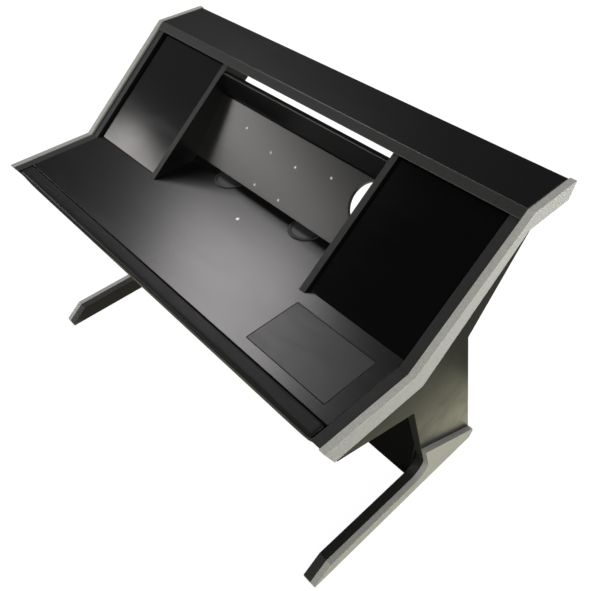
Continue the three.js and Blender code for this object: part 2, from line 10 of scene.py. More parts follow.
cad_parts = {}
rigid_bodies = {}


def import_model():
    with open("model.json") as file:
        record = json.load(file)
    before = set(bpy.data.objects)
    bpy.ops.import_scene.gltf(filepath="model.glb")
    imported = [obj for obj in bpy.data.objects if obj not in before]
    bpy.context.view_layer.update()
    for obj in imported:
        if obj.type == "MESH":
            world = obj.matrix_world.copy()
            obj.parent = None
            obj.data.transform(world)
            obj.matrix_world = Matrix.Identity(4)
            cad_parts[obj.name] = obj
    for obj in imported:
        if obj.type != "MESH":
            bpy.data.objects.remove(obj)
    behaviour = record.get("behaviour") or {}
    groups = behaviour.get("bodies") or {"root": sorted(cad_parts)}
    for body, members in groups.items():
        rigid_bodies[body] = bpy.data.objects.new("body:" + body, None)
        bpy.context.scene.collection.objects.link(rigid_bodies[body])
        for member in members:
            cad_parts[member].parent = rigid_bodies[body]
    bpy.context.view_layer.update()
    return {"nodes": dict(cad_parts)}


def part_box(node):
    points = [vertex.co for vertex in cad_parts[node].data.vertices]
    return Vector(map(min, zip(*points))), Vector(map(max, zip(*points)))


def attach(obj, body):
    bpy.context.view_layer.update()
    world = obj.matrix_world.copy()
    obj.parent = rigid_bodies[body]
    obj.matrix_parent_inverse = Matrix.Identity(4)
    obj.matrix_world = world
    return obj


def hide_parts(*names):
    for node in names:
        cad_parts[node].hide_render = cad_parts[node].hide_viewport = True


for leftover in list(bpy.data.objects):
    bpy.data.objects.remove(leftover)
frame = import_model()

# Camera, fitted to the photograph's frame of 590 by 591
FRAME_WIDTH, FRAME_HEIGHT = 590, 591
FOCAL_PIXELS = 621.267
CENTRE_PIXEL = (285.316, 307.998)
SENSOR = 36.0
CAMERA_PLACE = (1.10211, -0.84147, 1.77771)
CAMERA_TURN = math.radians(48.5796)
CAMERA_TILT = math.radians(43.3556)
CAMERA_ROLL = math.radians(-1.2599)

# Armrest: lengths in metres, shares of the section, and the cloth of its cover
BOLSTER_INSET = 0.0030
BOLSTER_VOXEL = 0.005
BOLSTER_FRAMES = 20
BOLSTER_MOST_MOVE = 0.005
BOLSTER_END = 0.012
BOLSTER_END_GAP = 0.0006
BOLSTER_FRONT_SQUARENESS = 5
BOLSTER_REAR_SQUARENESS = 10
BOLSTER_FILL = 0.98
BOLSTER_FULL = 0.992
BOLSTER_END_ROUNDING = 0.06
BOLSTER_CORE, BOLSTER_SKIN = 0.5, 0.85
EVEN_STRENGTH, EVEN_ROUNDS = 0.5, 14
SEAM_REACH = 0.0022
SEAM_DEPTH = 0.0009
SEAM_FROM_TOP = 0.24
SEAM_FACING = -0.3
COVER_CLOTH = {
    "quality": 6,
    "mass": 0.3,
    "tension_stiffness": 18,
    "compression_stiffness": 18,
    "shear_stiffness": 8,
    "bending_stiffness": 2,
    "use_pressure": True,
    "uniform_pressure_force": 4.0,
}

# Inlay pad, in metres
INLAY_GROOVE = 0.0013
JOIN_REACH = 0.00002

# Fastener heads in metres, each ring as its radius and height
HEAD_STEPS = 24
CROSS_ARMS = 4
SCREW_RINGS = ((0.0042, 0.0), (0.0042, 0.0007), (0.0037, 0.0016), (0.0023, 0.0022), (0.0010, 0.0024))
SCREW_RECESS = 0.0012
SCREW_APART = 0.024
BRACKET_WALL = 0.003
COVER_RINGS = ((0.0078, 0.0), (0.0078, 0.0006), (0.0070, 0.0012), (0.0030, 0.0014))
COVER_FROM_END = 0.034
COVER_SHARES = (0.12, 0.5, 0.88)

# Lamps round a point of the desk: azimuth, elevation, width, height, brightness, roll and tint
LAMP_TARGET = (0.0, 0.0, 0.75)
LAMP_DISTANCE = 6
LAMPS = {
    "softbox_rear_left": (-60.9, 51.3, 1.9, 2.8, 8.3, -34.8, (1.0, 0.972, 0.968)),
    "softbox_front_left": (-132, 25.8, 3.5, 0.62, 6.8, 0.0, (1.0, 0.965, 0.93)),
    "softbox_front_right": (140, 18, 3.0, 2.5, 7.0, 0.0, (1.0, 0.985, 0.92)),
}
# The lamp beside the right panels
SIDE_LAMP_PLACE, SIDE_LAMP_TARGET = (2.0, 0.9, 1.05), (0.685, 0.1, 1.0)
SIDE_LAMP_WIDTH = 1.2
SIDE_LAMP_BRIGHTNESS = 1.75
SIDE_LAMP_SPREAD = 75.0

# Floor, with half the footprint of the desk on it
HALF_WIDTH, HALF_DEPTH = 0.69, 0.39
FLOOR_REACH = 14.0
PAPER_TONE = (0.32, 0.32, 0.32, 1)
PAPER_GLOW = 1.3
PAPER_GLOW_SHARE = 0.75
# Tint of the floor's painted reflection
REFLECTION_TINT = (1, 0.97, 0.7, 1)
# Painted reflection of the floor in shiny faces, tinted as above: from and to a place, then from and to a
# strength. It fades away from the desk, a painted shadow lies under the desk, and that shadow is painted lighter
# towards the open left end.
REFLECTION_FALLOFF = (0.06, 0.17, 1.25, 0.15)
LEFT_END_REFLECTION_LIGHT = (-0.3, -0.6, 0.012, 0.3)
UNDER_DESK_SHADOW_EDGE = (-0.05, 0.0)

# Studio around the desk: even light that is brightest one way, and glows that shiny faces mirror
WHITE = (1, 1, 1, 1)
EVEN_TONE = (0.95, 0.98, 1, 1)
EVEN_WAY = (-0.3, -0.55, 0.78)
EVEN_RANGE = (0.3, 0.9, 0.1, 0.4)
GLOW_TONE = (0.97, 0.98, 1, 1)
ROOM_GLOW = 0.03
# Each glow: its way, the cosines where it starts and is full, and its strength
GLOWS = (
    ((-0.82, 0.53, 0.22), 0.5, 0.88, 0.07),
    ((-0.708, -0.345, 0.616), 0.955, 0.985, 0.2),
    ((-0.865, -0.46, 0.2), 0.82, 0.9, 0.17),
    ((-0.865, -0.46, 0.2), 0.97, 0.99, 7.0),
)

# Colours of the boards: dark, light and worn
LAMINATE = ((0.004, 0.004, 0.0042, 1), (0.0062, 0.0062, 0.0065, 1), (0.022, 0.022, 0.023, 1))
# Painted shade: a darker copy of the black laminate for the bay dividers, which stand in the shade of the bays
SHADED_LAMINATE = ((0.0016, 0.0016, 0.0016, 1), (0.0027, 0.0027, 0.0027, 1), (0.022, 0.022, 0.023, 1))
GLOSS_LACQUER = ((0.0012, 0.0012, 0.0013, 1), (0.002, 0.002, 0.0022, 1), (0.012, 0.012, 0.012, 1))
SIDE_LAMINATE = ((0.0042, 0.0042, 0.004, 1), (0.0066, 0.0065, 0.006, 1), (0.03, 0.03, 0.028, 1))
# Edge bands: dark and light, and a painted highlight for the shelf's rounded front edge, where its band meets its
# top
BAND = ((0.008, 0.0079, 0.0074, 1), (0.016, 0.0158, 0.0148, 1))
RIM = ((0.003, 0.003, 0.0029, 1), (0.0075, 0.0075, 0.0071, 1))
SHELF_EDGE_HIGHLIGHT = (0.1, 0.1, 0.098, 1)
# Silver lacquer: dark and bright flakes, clouds and rubbed edges
SILVER_DARK, SILVER_BRIGHT = (0.31, 0.307, 0.286, 1), (0.45, 0.446, 0.415, 1)
SILVER_CLOUD, SILVER_RUBBED = (0.345, 0.342, 0.318, 1), (0.6, 0.59, 0.54, 1)
# Vinyl: painted shade in its creases, its own colour on its pebbles, and where it is rubbed
VINYL_CREASE_SHADE, VINYL_PEBBLE = (0.002, 0.002, 0.0021, 1), (0.006, 0.006, 0.0063, 1)
VINYL_RUBBED = (0.009, 0.009, 0.0092, 1)
ZINC_DARK, ZINC_BRIGHT = (0.78, 0.78, 0.77, 1), (0.92, 0.92, 0.91, 1)
# Plastics, rubber and powder coat: dark and light
RUBBER = ((0.005, 0.005, 0.0053, 1), (0.011, 0.011, 0.0115, 1))
PLASTIC = ((0.003, 0.003, 0.0034, 1), (0.005, 0.005, 0.0056, 1))
CAP_PLASTIC = ((0.026, 0.026, 0.029, 1), (0.036, 0.036, 0.04, 1))
RING_PLASTIC = ((0.01, 0.01, 0.0112, 1), (0.015, 0.015, 0.0168, 1))
POWDER = ((0.012, 0.012, 0.013, 1), (0.02, 0.02, 0.021, 1))
RUBBED_GAIN = 3

# Roughness of the boards: clean, wiped, and what their pores add
SATIN, DULL, POLISHED, SOFT = (0.245, 0.265, 0.004), (0.32, 0.38, 0.02), (0.13, 0.17, 0.01), (0.31, 0.37, 0.03)
BAND_ROUGHNESS, WORN_ROUGHNESS = 0.26, 0.12

# Radius of the rounded edges, in metres
BOARD_EDGE, SHELF_EDGE, VINYL_EDGE, MOULDED_EDGE, FINE_EDGE = 0.0009, 0.0024, 0.0008, 0.0006, 0.0003
EDGE_SAMPLES = 4

# How the grain is drawn out, and the way across the thickness of a board
ALONG_X, ALONG_Y = (9.0, 190.0, 190.0), (190.0, 9.0, 60.0)
HIDE_STRETCH = (560.0, 640.0, 640.0)
BRUSH_STRETCH = (2600.0, 90.0, 2600.0)
WIPE_STRETCH = (3.0, 9.0, 9.0)
UPRIGHT, FLAT = (1.0, 0.0, 0.0), (0.0, 0.0, 1.0)
PLASTIC_IOR = 1.5
FLAKE_SCALE = 620.0
PLASTIC_SCALE = 1100.0


# Node helpers

def add(tree, kind, inputs=None, **settings):
    """A node with its settings, each input either linked to a socket or given a value."""
    made = tree.nodes.new(kind)
    for key, value in settings.items():
        setattr(made, key, value)
    for key, value in (inputs or {}).items():
        if isinstance(value, bpy.types.NodeSocket):
            tree.links.new(value, made.inputs[key])
        else:
            made.inputs[key].default_value = value
    return made


def maths(tree, operation, first, second=0.0):
    return add(tree, "ShaderNodeMath", {0: first, 1: second}, operation=operation).outputs[0]


def times(tree, first, second):
    return maths(tree, "MULTIPLY", first, second)


def plus(tree, first, second):
    return maths(tree, "ADD", first, second)


def dot(tree, first, second):
    return add(tree, "ShaderNodeVectorMath", {0: first, 1: second}, operation="DOT_PRODUCT").outputs["Value"]


def ramp(tree, value, low, high, to_low=0.0, to_high=1.0, soft=True):
    """Carries a value from one range to another, eased at both ends."""
    inputs = {"Value": value, "From Min": low, "From Max": high, "To Min": to_low, "To Max": to_high}
    kind = "SMOOTHSTEP" if soft else "LINEAR"
    return add(tree, "ShaderNodeMapRange", inputs, interpolation_type=kind).outputs["Result"]


def blend_colour(tree, mask, first, second):
    inputs = {0: mask, 6: first, 7: second}
    return add(tree, "ShaderNodeMix", inputs, data_type="RGBA").outputs[2]


def noise(tree, vector, scale, detail=3.0, roughness=0.5, distortion=0.0):
    inputs = {
        "Vector": vector, "Scale": scale, "Detail": detail, "Roughness": roughness, "Distortion": distortion,
    }
    return add(tree, "ShaderNodeTexNoise", inputs).outputs["Fac"]


def place(tree):
    return add(tree, "ShaderNodeTexCoord").outputs["Object"]


def drawn_out(tree, stretch):
    inputs = {0: place(tree), 1: stretch}
    return add(tree, "ShaderNodeVectorMath", inputs, operation="MULTIPLY").outputs[0]


def shared_effect(name, inputs, outputs, build):
    """A node group with named inputs and number outputs, for an effect that several finishes use."""
    tree = bpy.data.node_groups.new(name, "ShaderNodeTree")
    for label, kind, value in inputs:
        socket = tree.interface.new_socket(name=label, in_out="INPUT", socket_type=kind)
        socket.default_value = value
    for label, kind in outputs:
        tree.interface.new_socket(name=label, in_out="OUTPUT", socket_type=kind)
    entry = tree.nodes.new("NodeGroupInput")
    leave = tree.nodes.new("NodeGroupOutput")
    for label, socket in build(tree, entry.outputs).items():
        tree.links.new(socket, leave.inputs[label])
    return tree


def use(tree, effect, **inputs):
    made = tree.nodes.new("ShaderNodeGroup")
    made.node_tree = effect
    for key, value in inputs.items():
        made.inputs[key].default_value = value
    return made.outputs


FLOAT, VECTOR = "NodeSocketFloat", "NodeSocketVector"


# Shared effects

def build_grain(tree, given):
    """Fine pressed grain, drawn out along the board, with slow clouds under it."""
    stretched = drawn_out(tree, given["Stretch"])
    streaks = noise(tree, stretched, scale=1.0, detail=6.0, roughness=0.62, distortion=0.4)
    pores = noise(tree, stretched, scale=3.7, detail=2.0)
    cloud = noise(tree, place(tree), scale=7.0, detail=2.0)
    pressed = ramp(tree, pores, 0.36, 0.6)
    height = plus(tree, times(tree, streaks, 0.6), times(tree, pressed, 0.4))
    return {"Pores": pressed, "Clouds": cloud, "Height": height}


def build_worn_edge(tree, given):
    """Rounds the edges in the shading, and marks where they are rubbed and where they catch the light."""
    rounded = add(tree, "ShaderNodeBevel", {"Radius": given["Radius"]}, samples=EDGE_SAMPLES).outputs[0]
    flat = add(tree, "ShaderNodeNewGeometry").outputs["True Normal"]
    facing = dot(tree, rounded, flat)
    bend = ramp(tree, facing, 0.985, 0.8)
    patchy = ramp(tree, noise(tree, place(tree), scale=38.0, detail=4.0, roughness=0.6), 0.42, 0.68)
    # Where the rounded edge turns most: the place for a painted highlight
    highlight = ramp(tree, facing, 0.9995, 0.975)
    return {"Normal": rounded, "Mask": times(tree, bend, patchy), "Line": highlight}


def build_smudges(tree, given):
    """Faint wiped marks and dust that change how a surface shines."""
    wiped = drawn_out(tree, WIPE_STRETCH)
    cloudy = noise(tree, wiped, scale=given["Scale"], detail=4.0, roughness=0.6, distortion=0.8)
    specks = noise(tree, place(tree), scale=420.0, detail=1.0, roughness=0.4)
    return {"Wiped": ramp(tree, cloudy, 0.38, 0.72), "Dust": ramp(tree, specks, 0.7, 0.78)}


def build_moulded(tree, given):
    """Fine even grain of moulded plastic, powder coat or rubber."""
    inputs = {"Vector": place(tree), "Scale": given["Scale"]}
    cells = add(tree, "ShaderNodeTexVoronoi", inputs, feature="SMOOTH_F1").outputs["Distance"]
    grain = noise(tree, place(tree), scale=times(tree, given["Scale"], 1.7), detail=3.0, roughness=0.6)
    height = plus(tree, times(tree, cells, 0.5), grain)
    return {"Height": height, "Mask": ramp(tree, grain, 0.35, 0.65)}


def build_hide(tree, given):
    """Pebbled grain of soft vinyl: small cells with creases between them."""
    bent = noise(tree, place(tree), scale=60.0, detail=2.0)
    vector = drawn_out(tree, given["Stretch"])
    inputs = {"Vector": vector, "Scale": 1.0}
    edges = add(tree, "ShaderNodeTexVoronoi", inputs, feature="DISTANCE_TO_EDGE").outputs["Distance"]
    # The crease mask sets the bump and also where the vinyl gets painted shade
    crease = ramp(tree, edges, 0.0, 0.22)
    fine = noise(tree, vector, scale=2.6, detail=2.0)
    height = plus(tree, crease, times(tree, fine, 0.35))
    return {"Height": height, "Crease": crease, "Clouds": ramp(tree, bent, 0.3, 0.7)}


def build_brushing(tree, given):
    """Fine lines left by a brush on metal."""
    lines = noise(tree, drawn_out(tree, given["Stretch"]), scale=1.0, detail=5.0, roughness=0.7)
    return {"Height": lines, "Mask": ramp(tree, lines, 0.35, 0.65)}


def build_flakes(tree, given):
    """Metal flakes in a lacquer: small cells of different brightness, and slow clouds over them."""
    inputs = {"Vector": place(tree), "Scale": given["Scale"]}
    cells = add(tree, "ShaderNodeTexVoronoi", inputs, feature="F1").outputs["Color"]
    bright = add(tree, "ShaderNodeSeparateColor", {0: cells}).outputs[0]
    fine = noise(tree, place(tree), scale=times(tree, given["Scale"], 0.45), detail=4.0, roughness=0.7)
    mixed = plus(tree, times(tree, bright, 0.35), times(tree, fine, 0.65))
    cloud = noise(tree, place(tree), scale=190.0, detail=6.0, roughness=0.7)
    return {"Sparkle": ramp(tree, mixed, 0.3, 0.7), "Clouds": ramp(tree, cloud, 0.35, 0.65), "Height": mixed}


def build_banding(tree, given):
    """Marks the narrow faces of a board, all those that don't look across its thickness."""
    facing = add(tree, "ShaderNodeTexCoord").outputs["Normal"]
    across = maths(tree, "ABSOLUTE", dot(tree, facing, given["Across"]))
    mottled = noise(tree, place(tree), scale=210.0, detail=5.0, roughness=0.65)
    return {"Mask": ramp(tree, across, 0.95, 0.8), "Mottled": ramp(tree, mottled, 0.3, 0.7)}


GRAIN = shared_effect(
    "board_grain",
    [("Stretch", VECTOR, ALONG_X)],
    [("Pores", FLOAT), ("Clouds", FLOAT), ("Height", FLOAT)],
    build_grain,
)
WORN_EDGE = shared_effect(
    "worn_edge",
    [("Radius", FLOAT, BOARD_EDGE)],
    [("Normal", VECTOR), ("Mask", FLOAT), ("Line", FLOAT)],
    build_worn_edge,
)
SMUDGES = shared_effect(
    "smudges",
    [("Scale", FLOAT, 1.0)],
    [("Wiped", FLOAT), ("Dust", FLOAT)],
    build_smudges,
)
MOULDED = shared_effect(
    "moulded_grain",
    [("Scale", FLOAT, PLASTIC_SCALE)],
    [("Height", FLOAT), ("Mask", FLOAT)],
    build_moulded,
)
HIDE = shared_effect(
    "vinyl_grain",
    [("Stretch", VECTOR, HIDE_STRETCH)],
    [("Height", FLOAT), ("Crease", FLOAT), ("Clouds", FLOAT)],
    build_hide,
)
FLAKES = shared_effect(
    "metal_flakes",
    [("Scale", FLOAT, FLAKE_SCALE)],
    [("Sparkle", FLOAT), ("Clouds", FLOAT), ("Height", FLOAT)],
    build_flakes,
)
BANDING = shared_effect(
    "edge_banding",
    [("Across", VECTOR, FLAT)],
    [("Mask", FLOAT), ("Mottled", FLOAT)],
    build_banding,
)
BRUSHING = shared_effect(
    "brushing",
    [("Stretch", VECTOR, BRUSH_STRETCH)],
    [("Height", FLOAT), ("Mask", FLOAT)],
    build_brushing,
)


# Finishes

def new_finish(name, **constants):
    """A material with a Principled shader whose constant values are set on its own sockets."""
    made = bpy.data.materials.new(name)
    made.use_nodes = True
    shader = made.node_tree.nodes["Principled BSDF"]
    for key, value in constants.items():
        shader.inputs[key.replace("_", " ")].default_value = value
    return made, made.node_tree, shader


def join(tree, shader, **sockets):
    for key, socket in sockets.items():
        tree.links.new(socket, shader.inputs[key.replace("_", " ")])


def between(tree, mask, shine):
    """Roughness that goes from the first value to the second with the mask."""
    return ramp(tree, mask, 0.0, 1.0, shine[0], shine[1], soft=False)


def bumped(tree, height, strength, distance, normal):
    inputs = {"Height": height, "Strength": strength, "Distance": distance, "Normal": normal}
    return add(tree, "ShaderNodeBump", inputs).outputs[0]


def board_finish(name, tones, shine, stretch, relief, across=None, band_tones=None, highlight_tone=None):
    """A faced board: grain, wiped marks, dust and rubbed edges over two close colours.

    Its narrow faces can carry an edge band, and the edge of the band a fine painted highlight.
    """
    dark, light, worn = tones
    made, tree, shader = new_finish(name, IOR=PLASTIC_IOR)
    grain = use(tree, GRAIN, Stretch=stretch)
    marks = use(tree, SMUDGES, Scale=1.0)
    edge = use(tree, WORN_EDGE, Radius=SHELF_EDGE if highlight_tone else BOARD_EDGE)
    body = blend_colour(tree, grain["Clouds"], dark, light)
    if across:
        band = use(tree, BANDING, Across=across)
        banded = blend_colour(tree, band["Mottled"], *band_tones)
        body = blend_colour(tree, band["Mask"], body, banded)
    dusty = blend_colour(tree, times(tree, marks["Dust"], 0.08), body, worn)
    rubbed = blend_colour(tree, times(tree, edge["Mask"], 0.4), dusty, worn)
    # Painted highlight: a lighter colour on the shelf's rounded front edge, where it catches the light
    if highlight_tone:
        rubbed = blend_colour(tree, edge["Line"], rubbed, highlight_tone)
    in_pores = plus(tree, between(tree, marks["Wiped"], shine), times(tree, grain["Pores"], shine[2]))
    roughness = plus(tree, in_pores, times(tree, edge["Mask"], WORN_ROUGHNESS))
    if across:
        roughness = plus(tree, roughness, times(tree, band["Mask"], BAND_ROUGHNESS))
    join(tree, shader, Base_Color=rubbed, Roughness=roughness)
    join(tree, shader, Normal=bumped(tree, grain["Height"], relief, 0.0004, edge["Normal"]))
    return made


def vinyl_finish():
    made, tree, shader = new_finish(
        "soft_black_vinyl", IOR=PLASTIC_IOR, Specular_IOR_Level=0.2, Sheen_Weight=0.03, Sheen_Roughness=0.35,
    )
    grain = use(tree, HIDE, Stretch=HIDE_STRETCH)
    marks = use(tree, SMUDGES, Scale=1.6)
    rounded = use(tree, WORN_EDGE, Radius=VINYL_EDGE)
    # Painted shade: the creases between the pebbles get a darker colour
    body = blend_colour(tree, grain["Crease"], VINYL_CREASE_SHADE, VINYL_PEBBLE)
    rubbed = blend_colour(tree, times(tree, grain["Clouds"], 0.3), body, VINYL_RUBBED)
    join(tree, shader, Base_Color=rubbed, Roughness=between(tree, marks["Wiped"], (0.42, 0.5)))
    join(tree, shader, Normal=bumped(tree, grain["Height"], 0.25, 0.0003, rounded["Normal"]))
    return made


def moulded_finish(name, tones, shine, scale, relief, radius=MOULDED_EDGE, **constants):
    """Moulded plastic, rubber or powder coat with an even grain and rubbed edges."""
    dark, light = tones
    worn = [RUBBED_GAIN * part for part in light[:3]] + [1]
    made, tree, shader = new_finish(name, IOR=PLASTIC_IOR, **constants)
    grain = use(tree, MOULDED, Scale=scale)
    marks = use(tree, SMUDGES, Scale=2.0)
    edge = use(tree, WORN_EDGE, Radius=radius)
    body = blend_colour(tree, grain["Mask"], dark, light)
    rubbed = blend_colour(tree, times(tree, edge["Mask"], 0.4), body, worn)
    join(tree, shader, Base_Color=rubbed, Roughness=between(tree, marks["Wiped"], shine))
    join(tree, shader, Normal=bumped(tree, grain["Height"], relief, 0.0002, edge["Normal"]))
    return made


def plastic_finish(name, tones, shine, **constants):
    return moulded_finish(name, tones, shine, PLASTIC_SCALE, 0.15, FINE_EDGE, **constants)


def zinc_finish():
    made, tree, shader = new_finish("bright_zinc", Metallic=0.3)
    lines = use(tree, BRUSHING, Stretch=BRUSH_STRETCH)
    edge = use(tree, WORN_EDGE, Radius=FINE_EDGE)
    body = blend_colour(tree, lines["Mask"], ZINC_DARK, ZINC_BRIGHT)
    join(tree, shader, Base_Color=body, Roughness=between(tree, lines["Mask"], (0.3, 0.42)))
    join(tree, shader, Normal=bumped(tree, lines["Height"], 0.2, 0.0001, edge["Normal"]))
    return made


def lacquered_metal_finish():
    """Silver lacquer: fine metal flakes of uneven brightness under a satin skin, rubbed at the edges."""
    made, tree, shader = new_finish("silver_lacquer", IOR=PLASTIC_IOR, Specular_IOR_Level=0.4)
    flakes = use(tree, FLAKES, Scale=FLAKE_SCALE)
    marks = use(tree, SMUDGES, Scale=1.0)
    edge = use(tree, WORN_EDGE, Radius=BOARD_EDGE)
    body = blend_colour(tree, flakes["Sparkle"], SILVER_DARK, SILVER_BRIGHT)
    clouded = blend_colour(tree, times(tree, flakes["Clouds"], 0.5), body, SILVER_CLOUD)
    rubbed = blend_colour(tree, times(tree, edge["Mask"], 0.5), clouded, SILVER_RUBBED)
    join(tree, shader, Base_Color=rubbed, Roughness=between(tree, marks["Wiped"], (0.42, 0.5)))
    join(tree, shader, Normal=bumped(tree, flakes["Height"], 0.22, 0.0003, edge["Normal"]))
    return made


FINISHES = {
    "black": board_finish("black_laminate", LAMINATE, SATIN, ALONG_X, 0.004),
    "shelf": board_finish("black_laminate_shelf", LAMINATE, SATIN, ALONG_X, 0.004, FLAT, BAND, SHELF_EDGE_HIGHLIGHT),
    # The dividers take the darker laminate, as painted shade
    "shaded_black": board_finish("black_laminate_shaded", SHADED_LAMINATE, DULL, ALONG_Y, 0.03, UPRIGHT, BAND),
    "gloss": board_finish("gloss_black_lacquer", GLOSS_LACQUER, POLISHED, ALONG_X, 0.008),
    "side": board_finish("side_panel_laminate", SIDE_LAMINATE, SOFT, ALONG_Y, 0.05, UPRIGHT, RIM),
    "silver": lacquered_metal_finish(),
    "vinyl": vinyl_finish(),
    "inlay": moulded_finish("inlay_rubber", RUBBER, (0.38, 0.44), 1500.0, 0.25),
    "plastic": plastic_finish("black_plastic", PLASTIC, (0.55, 0.62), Specular_IOR_Level=0.25),
    "cap": plastic_finish("grey_black_plastic", CAP_PLASTIC, (0.4, 0.47)),
    "ring": plastic_finish("black_plastic_ring", RING_PLASTIC, (0.48, 0.55), Specular_IOR_Level=0.35),
    "powder": moulded_finish("black_powder_coat", POWDER, (0.42, 0.52), 1300.0, 0.6),
    "zinc": zinc_finish(),
}
# Finish by the start of a node's name, the first that fits; all the others are black boards
NODE_FINISH = {
    "side_panel": "side",
    "side_trim": "silver",
    "foot_trim": "silver",
    "foot_glide": "plastic",
    "worktop_insert": "zinc",
    "panel_insert": "zinc",
    "top_shelf": "shelf",
    "inlay_pad": "inlay",
    "grommet_ring": "ring",
    "grommet_cap": "cap",
    "bracket": "powder",
    "armrest_pad": "vinyl",
    "bay_panel": "gloss",
    "bay_divider": "shaded_black",
}


def finish_of(node):
    for start, finish in NODE_FINISH.items():
        if node.startswith(start):
            return FINISHES[finish]
    return FINISHES["black"]


for node, part in frame["nodes"].items():
    for entry in part.material_slots:
        entry.material = finish_of(node)


# Pieces

def new_piece(name, mesh, finish, body="desk"):
    piece = bpy.data.objects.new(name, mesh)
    bpy.context.scene.collection.objects.link(piece)
    piece.data.materials.clear()
    piece.data.materials.append(FINISHES[finish])
    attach(piece, body)
    return piece


def shrunk_copy(node, inset):
    """The node's own form with its points joined and drawn in along their normals."""
    shape = bmesh.new()
    shape.from_mesh(frame["nodes"][node].data)
    bmesh.ops.remove_doubles(shape, verts=shape.verts, dist=JOIN_REACH)
    bmesh.ops.recalc_face_normals(shape, faces=shape.faces)
    shape.normal_update()
    for vert in shape.verts:
        vert.co -= vert.normal * inset
    mesh = bpy.data.meshes.new("bolster_form")
    shape.to_mesh(mesh)
    shape.free()
    return mesh


def settle(piece):
    """Makes the modifiers' result the piece's own mesh."""
    bpy.context.view_layer.update()
    ready = piece.evaluated_get(bpy.context.evaluated_depsgraph_get())
    old = piece.data
    piece.data = bpy.data.meshes.new_from_object(ready)
    piece.modifiers.clear()
    bpy.data.meshes.remove(old)


def inflate(piece):
    """Fills the bolster's cover with the pressure of its foam."""
    cover = piece.modifiers.new("cover", "CLOTH")
    for key, value in COVER_CLOTH.items():
        setattr(cover.settings, key, value)
    cover.settings.effector_weights.gravity = 0
    cover.collision_settings.use_collision = False
    start = [vert.co.copy() for vert in piece.data.vertices]
    for number in range(1, BOLSTER_FRAMES + 1):
        bpy.context.scene.frame_set(number)
    settle(piece)
    bpy.context.scene.frame_set(1)
    for vert, first in zip(piece.data.vertices, start):
        step = vert.co - first
        if step.length > BOLSTER_MOST_MOVE:
            vert.co = first + step.normalized() * BOLSTER_MOST_MOVE


def smooth_cover(piece):
    """Takes the ripples of the cells out of the cover."""
    even = piece.modifiers.new("even", "SMOOTH")
    even.factor = EVEN_STRENGTH
    even.iterations = EVEN_ROUNDS
    settle(piece)


def ease(value, low, high):
    share = min(max((value - low) / (high - low), 0.0), 1.0)
    return share * share * (3 - 2 * share)


def front_line(mesh, low, high):
    """Where the raked front of the bolster stands, at its underside and at its top."""
    middle, reach = (low.z + high.z) / 2, (high.z - low.z) / 4
    foot = min(vert.co.y for vert in mesh.vertices if vert.co.z < middle - reach)
    head = min(vert.co.y for vert in mesh.vertices if vert.co.z > middle + reach)
    return foot, head


def fill_section(mesh, low, high, front):
    """Draws the cover tight over squared foam that fills its place between the side panels."""
    middle, half = (low.z + high.z) / 2, (high.z - low.z) / 2
    reach = max(abs(vert.co.x) for vert in mesh.vertices)
    wide = (high.x - BOLSTER_END_GAP) / reach
    for vert in mesh.vertices:
        vert.co.x *= wide
        rise = (vert.co.z - middle) / half
        nose = front[0] + (front[1] - front[0]) * (rise + 1) / 2
        depth = (high.y - nose) / 2
        across = (vert.co.y - nose) / depth - 1
        square = BOLSTER_REAR_SQUARENESS if across > 0 else BOLSTER_FRONT_SQUARENESS
        spread = (abs(across) ** square + abs(rise) ** square) ** (1 / square)
        if spread < BOLSTER_CORE:
            continue
        end = ease(abs(vert.co.x), high.x - BOLSTER_END, high.x)
        full = BOLSTER_FULL - BOLSTER_END_ROUNDING * end * end
        pull = BOLSTER_FILL * ease(spread, BOLSTER_CORE, BOLSTER_SKIN)
        factor = 1 - pull + pull * full / spread
        rise *= factor
        nose = front[0] + (front[1] - front[0]) * (rise + 1) / 2
        depth = (high.y - nose) / 2
        vert.co.z = middle + rise * half
        vert.co.y = nose + (across * factor + 1) * depth


def sew_seams(mesh, low, high):
    """Draws the cover in along a seam under its front edge and round each end."""
    seam_z = high.z - SEAM_FROM_TOP * (high.z - low.z)
    for vert in mesh.vertices:
        front = abs(vert.co.z - seam_z) / SEAM_REACH if vert.normal.y < SEAM_FACING else 1.0
        end = abs(abs(vert.co.x) - (high.x - BOLSTER_END_GAP)) / SEAM_REACH
        off = min(front, end)
        if off < 1:
            vert.co -= vert.normal * (SEAM_DEPTH * (1 - off * off) ** 2)


def make_bolster():
    """The padded armrest, with its cover over foam."""
    low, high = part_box("armrest_pad")
    front = front_line(frame["nodes"]["armrest_pad"].data, low, high)
    mesh = shrunk_copy("armrest_pad", BOLSTER_INSET)
    bolster = new_piece("armrest_bolster", mesh, "vinyl")
    remesh = bolster.modifiers.new("cells", "REMESH")
    remesh.mode = "VOXEL"
    remesh.voxel_size = BOLSTER_VOXEL
    remesh.use_smooth_shade = True
    settle(bolster)
    inflate(bolster)
    smooth_cover(bolster)
    rounded = bolster.modifiers.new("rounded", "SUBSURF")
    rounded.levels = rounded.render_levels = 1
    settle(bolster)
    fill_section(bolster.data, low, high, front)
    sew_seams(bolster.data, low, high)
    for vert in bolster.data.vertices:
        for axis in range(3):
            vert.co[axis] = min(max(vert.co[axis], low[axis]), high[axis])
    for face in bolster.data.polygons:
        face.use_smooth = True
    bolster.data.materials.clear()
    bolster.data.materials.append(FINISHES["vinyl"])
    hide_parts("armrest_pad")


def make_inlay():
    """The inlay pad with a narrow groove round it and eased edges, where the recess shows dark."""
    low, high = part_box("inlay_pad")
    centre, half = (low + high) / 2, (high - low) / 2
    mesh = shrunk_copy("inlay_pad", 0.0)
    for vert in mesh.vertices:
        for axis in range(2):
            off = vert.co[axis] - centre[axis]
            vert.co[axis] = centre[axis] + off * (1 - INLAY_GROOVE / half[axis])
    pad = new_piece("inlay_pad_eased", mesh, "inlay")
    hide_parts("inlay_pad")


